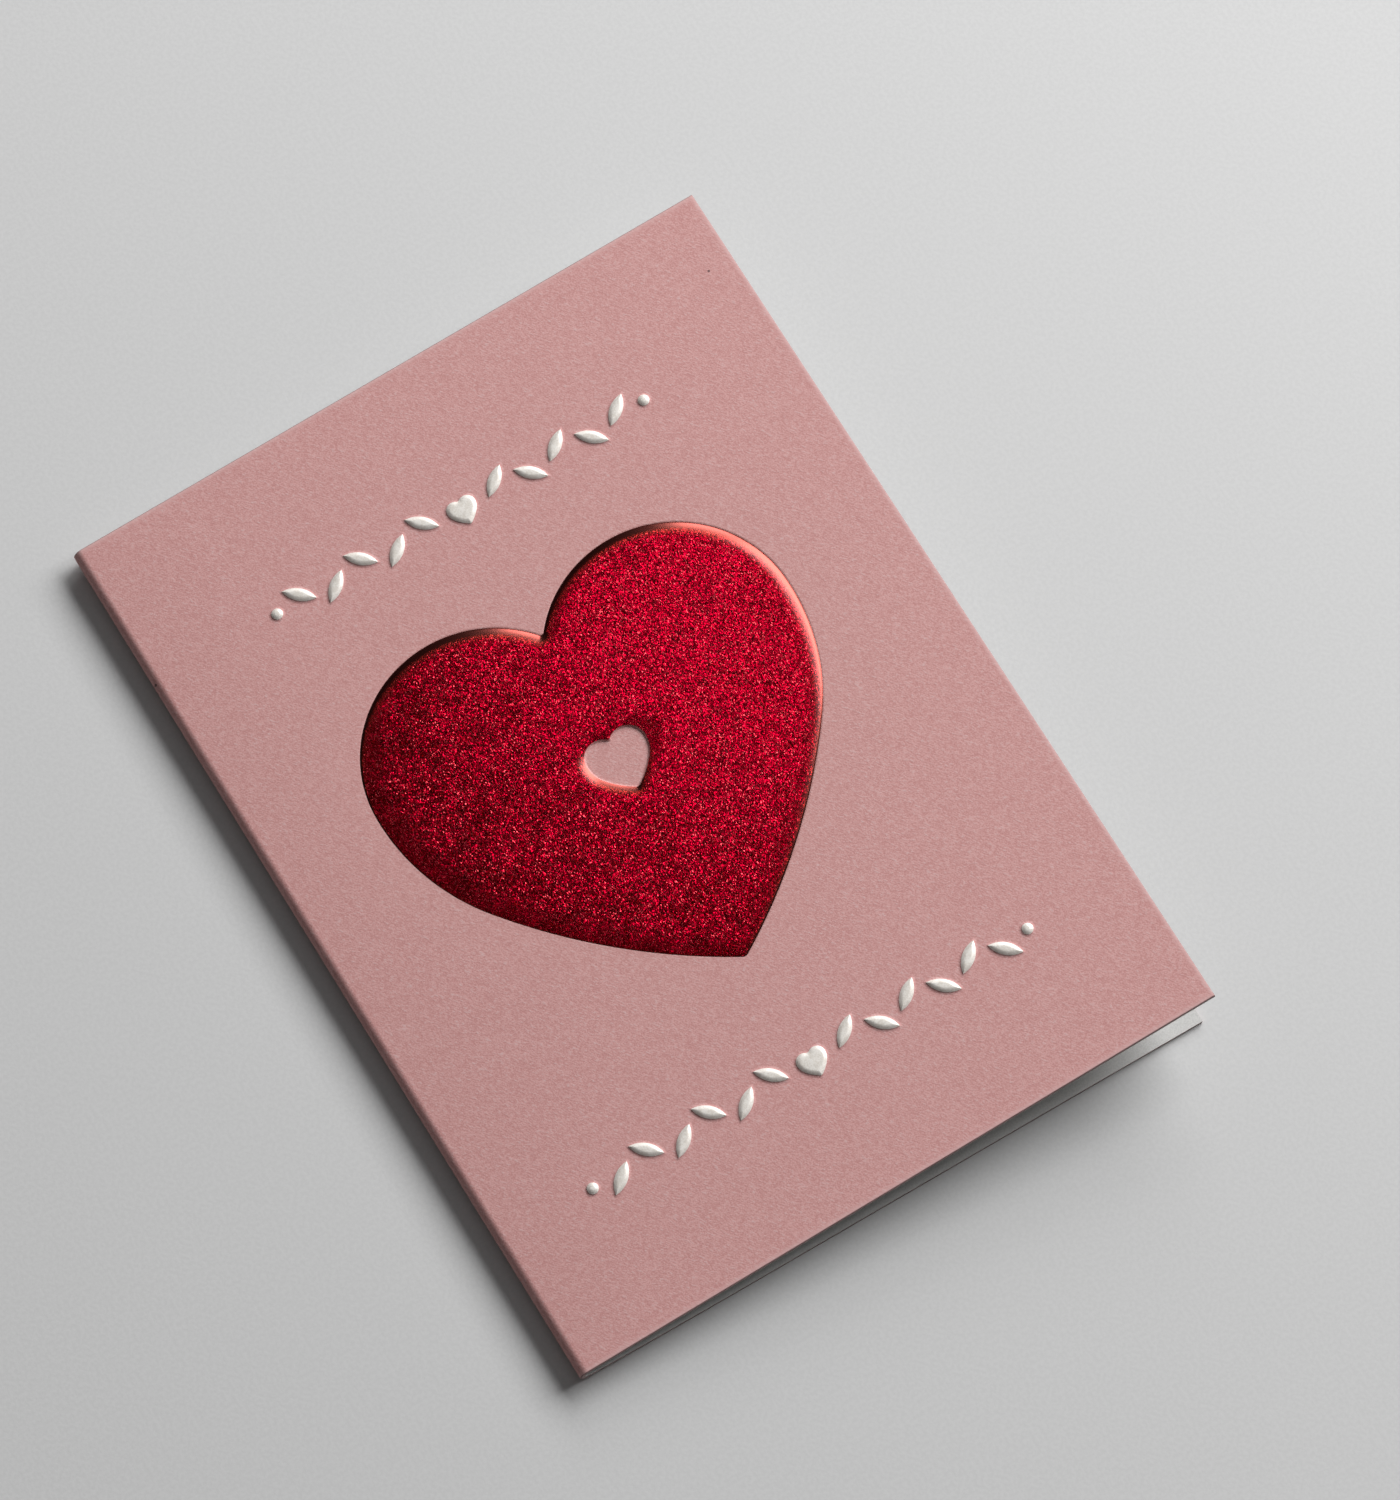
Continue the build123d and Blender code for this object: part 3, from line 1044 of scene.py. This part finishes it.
@dataclass
class OrnamentRow:
    """One row of raised ornaments: a heart with leaves and a dot on both sides."""

    middle: Flat
    leaves: int
    first_leaf: float = 6.4  # from the heart
    leaf_pitch: float = 5.4
    leaf_offset: float = 0.9  # up or down, in turn
    leaf_tilt: float = 42.0  # degrees
    dot_gap: float = 4.4  # from the last leaf
    heart: HeartOutline = HeartOutline(4.8, notch_radius=0.5, tip_radius=0.4, steps=9)
    leaf: LeafOutline = LeafOutline()
    dot: DotOutline = DotOutline()
    skirt: float = 0.42  # width of the paper's soft rise round the foil
    skirt_curve: float = 1.8
    skirt_steps: int = 5
    hem: float = 0.05  # flat ring outside the skirt
    foot_height: float = 0.12
    crown_height: float = 0.42
    slope_width: float = 0.7
    slope_curve: float = 1.7
    slope_steps: int = 6
    foil: float = 0.05

    def stamps(self) -> list[Stamp]:
        """Places the ornaments.

        Returns:
            Each outline at its place.
        """
        u, v = self.middle
        found = [Stamp(self.heart, self.middle)]
        for side in (1, -1):
            for i in range(self.leaves):
                sign = 1 if i % 2 == 0 else -1
                across = self.first_leaf + i * self.leaf_pitch
                place = (u + side * across, v + sign * self.leaf_offset)
                found.append(Stamp(self.leaf, place, side * sign * self.leaf_tilt))
            reach = self.first_leaf + (self.leaves - 1) * self.leaf_pitch + self.dot_gap
            found.append(Stamp(self.dot, (u + side * reach, v)))
        return found

    def mound_levels(self) -> list[Level]:
        """Insets and heights from the foil's foot to the crown."""
        shares = spread(0, 1, self.slope_steps)
        return [(share * self.slope_width, self.mound_height(share)) for share in shares]

    def mound_height(self, share: float) -> float:
        """The height at a share of the slope's width."""
        rise = self.crown_height - self.foot_height
        return self.foot_height + rise * bulge(share, self.slope_curve)

    def skirt_levels(self) -> list[Level]:
        """The paper's rise round the foil.

        Returns:
            Insets and heights from the flat panel to the foil's foot.
        """
        shares = spread(0, 1, self.skirt_steps)
        rises = [(self.skirt * (s - 1), self.foot_height * s**self.skirt_curve) for s in shares]
        return [(-self.skirt - self.hem, 0.0), *rises]

    def mound(self, shell: Shell, stamp: Stamp, lift: float, coat: int) -> None:
        """Adds one ornament's upper side.

        Args:
            shell: takes the surfaces.
            stamp: the ornament.
            lift: how far over the board it lies.
            coat: the material's place in the piece's list.
        """
        levels = raised(self.mound_levels(), lift)
        shell.stack(stamp, levels, coat)
        inset, height = levels[-1]
        shell.fill([stamp.ring(inset)], height, coat)

    def on_board(self, shell: Shell) -> list[list[Flat]]:
        """Adds the board's mounds.

        Args:
            shell: takes the surfaces.

        Returns:
            The loops where the flat panel begins.
        """
        skirt = self.skirt_levels()
        for stamp in self.stamps():
            shell.stack(stamp, skirt, Coat.OUTER)
            self.mound(shell, stamp, 0.0, Coat.OUTER)
        return [stamp.ring(skirt[0][0]) for stamp in self.stamps()]

    def skin(self, shell: Shell) -> None:
        """Adds the foil of every ornament as a closed skin.

        Args:
            shell: takes the surfaces.
        """
        for stamp in self.stamps():
            for lift in (self.foil, 0.0):
                self.mound(shell, stamp, lift, 0)
            shell.edge(stamp, self.mound_levels()[0], self.foil)


@dataclass
class GreetingCard:
    """The whole card: the board and both foils."""

    design_shift: float = 1.0  # from the front panel's middle towards the fold
    heart_rise: float = 13.9  # from that middle up to the lobes' centres
    upper_gap: float = 16.3  # from the heart to the row over it
    lower_gap: float = 18.6  # and to the one under it
    sheet: FoldedBoard = field(default_factory=FoldedBoard)

    def __post_init__(self) -> None:
        """Places the heart and hangs both rows from it."""
        axis = self.sheet.front_width / 2 - self.design_shift
        lobes = self.sheet.height / 2 + self.heart_rise
        self.pillow = HeartPillow((axis, lobes))
        low, high = self.pillow.heart.span()
        self.rows = [
            OrnamentRow((axis, lobes + high + self.upper_gap), leaves=5),
            OrnamentRow((axis, lobes + low - self.lower_gap), leaves=6),
        ]

    def board(self) -> Piece:
        """Builds the board with everything that is pressed into it.

        Returns:
            The piece.
        """
        shell = Shell(self.sheet)
        self.sheet.sweep(shell)
        holes = [self.pillow.on_board(shell)]
        for row in self.rows:
            holes += row.on_board(shell)
        border = self.sheet.panel_loop()
        shell.fill([border, *holes], 0.0, Coat.OUTER)
        hollow = self.pillow.behind(shell)
        shell.fill([border, hollow], -self.sheet.board, Coat.INNER)
        coats = [PinkFace().material(), WHITE_FACE_WITH_PAINTED_SHADE.material(), CUT_EDGE.material()]
        return shell.piece("pink_board", coats)

    def foil(self, name: str, under: Iterable[HeartPillow | OrnamentRow], coat: Material) -> Piece:
        """Builds one foil.

        Args:
            name: the piece's name.
            under: what it lies on.
            coat: its material.

        Returns:
            The piece.
        """
        shell = Shell(self.sheet)
        for relief in under:
            relief.skin(shell)
        return shell.piece(name, [coat])

    def build(self) -> None:
        """Builds the three pieces in place of their solids."""
        red, pearl = RedFoil().material(), PearlFoil().material()
        made = {
            ("folded_board", "pink_board"): self.board(),
            ("heart_foil", "red_foil"): self.foil("heart_skin", [self.pillow], red),
            ("pearl_foil", "pearl_foil"): self.foil("pearl_skin", self.rows, pearl),
        }
        for (node, slot), piece in made.items():
            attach(piece, "root")
            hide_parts(node)
            log.info("%s stands for %s", piece.name, node)


@dataclass(frozen=True)
class Softbox:
    """A rectangular lamp that looks at the card's middle."""

    name: str
    heading: float  # degrees from +X to where it stands
    elevation: float  # degrees
    distance: float  # metres, as its sides
    width: float
    height: float
    watts: float

    def place(self) -> None:
        """Puts the lamp in the scene."""
        lamp = bpy.data.lights.new(self.name, "AREA")
        lamp.shape = "RECTANGLE"
        lamp.size = self.width
        lamp.size_y = self.height
        lamp.energy = self.watts
        holder = show(self.name, lamp)
        level = turned(self.heading) * math.cos(math.radians(self.elevation))
        towards = Vector((level.x, level.y, math.sin(math.radians(self.elevation))))
        holder.location = towards * self.distance
        holder.rotation_euler = towards.to_track_quat("Z", "Y").to_euler()
        log.info("%s stands at %s", self.name, tuple(round(c, 3) for c in holder.location))


@dataclass(frozen=True)
class Studio:
    """The table, the lamps, the soft surroundings and the camera."""

    table_size: float = 6.0  # metres
    walls: float = 0.03  # strength of the surroundings at eye level
    ceiling: float = 0.32  # and straight above
    ceiling_span: Flat = (0.7, 1.0)  # how steeply up the ceiling begins and is full, as Z
    lamps: tuple[Softbox, ...] = (
        Softbox(
            "key_softbox", heading=15.0, elevation=37.0, distance=1.5,
            width=1.25, height=0.8, watts=32.9,
        ),
        Softbox(
            "side_softbox", heading=53.0, elevation=24.0, distance=1.0,
            width=0.3, height=0.3, watts=2.5,
        ),
    )
    lens: float = 191.06  # millimetres on a 36 mm long side
    camera_place: Triple = (-0.214228, -0.327059, 1.137155)  # metres
    camera_turn: Triple = (19.2445, -1.1789, -31.1905)  # degrees

    def lay_table(self) -> None:
        """Lays the pale sheet under the card."""
        half = self.table_size / 2
        mesh = bpy.data.meshes.new("table_sheet")
        corners = [(-half, -half, 0), (half, -half, 0), (half, half, 0), (-half, half, 0)]
        mesh.from_pydata(corners, [], [(0, 1, 2, 3)])
        mesh.materials.append(TABLE_PAPER.material())
        table = show("table_sheet", mesh)

    def light(self) -> None:
        """Places the lamps and sets the surroundings."""
        for lamp in self.lamps:
            lamp.place()
        world = bpy.data.worlds.new("soft_room")
        room = Recipe(world)
        way = room.node("ShaderNodeTexCoord", {}, {}, "Generated")
        rise = room.node("ShaderNodeSeparateXYZ", {}, {0: way}, 2)
        light = rise.ramp(*self.ceiling_span).between(self.walls, self.ceiling)
        values = {"Strength": light, "Color": (1.0, 1.0, 1.0, 1.0)}
        glow = room.node("ShaderNodeBackground", {}, values)
        room.node("ShaderNodeOutputWorld", {}, {"Surface": glow})
        bpy.context.scene.world = world

    def set_camera(self) -> None:
        """Stands the camera where the photograph was taken from."""
        data = bpy.data.cameras.new("photo_camera")
        data.lens = self.lens
        data.sensor_width = 36.0
        camera = show("photo_camera", data)
        camera.location = self.camera_place
        camera.rotation_euler = [math.radians(angle) for angle in self.camera_turn]
        bpy.context.scene.camera = camera

    def build(self) -> None:
        """Builds everything round the card."""
        bpy.context.scene.view_settings.view_transform = "Standard"
        self.lay_table()
        self.light()
        self.set_camera()


def main() -> None:
    """Builds the card and its studio."""
    logging.basicConfig(level=logging.INFO, format="%(name)s: %(message)s")
    GreetingCard().build()
    Studio().build()


if __name__ == "__main__":
    main()
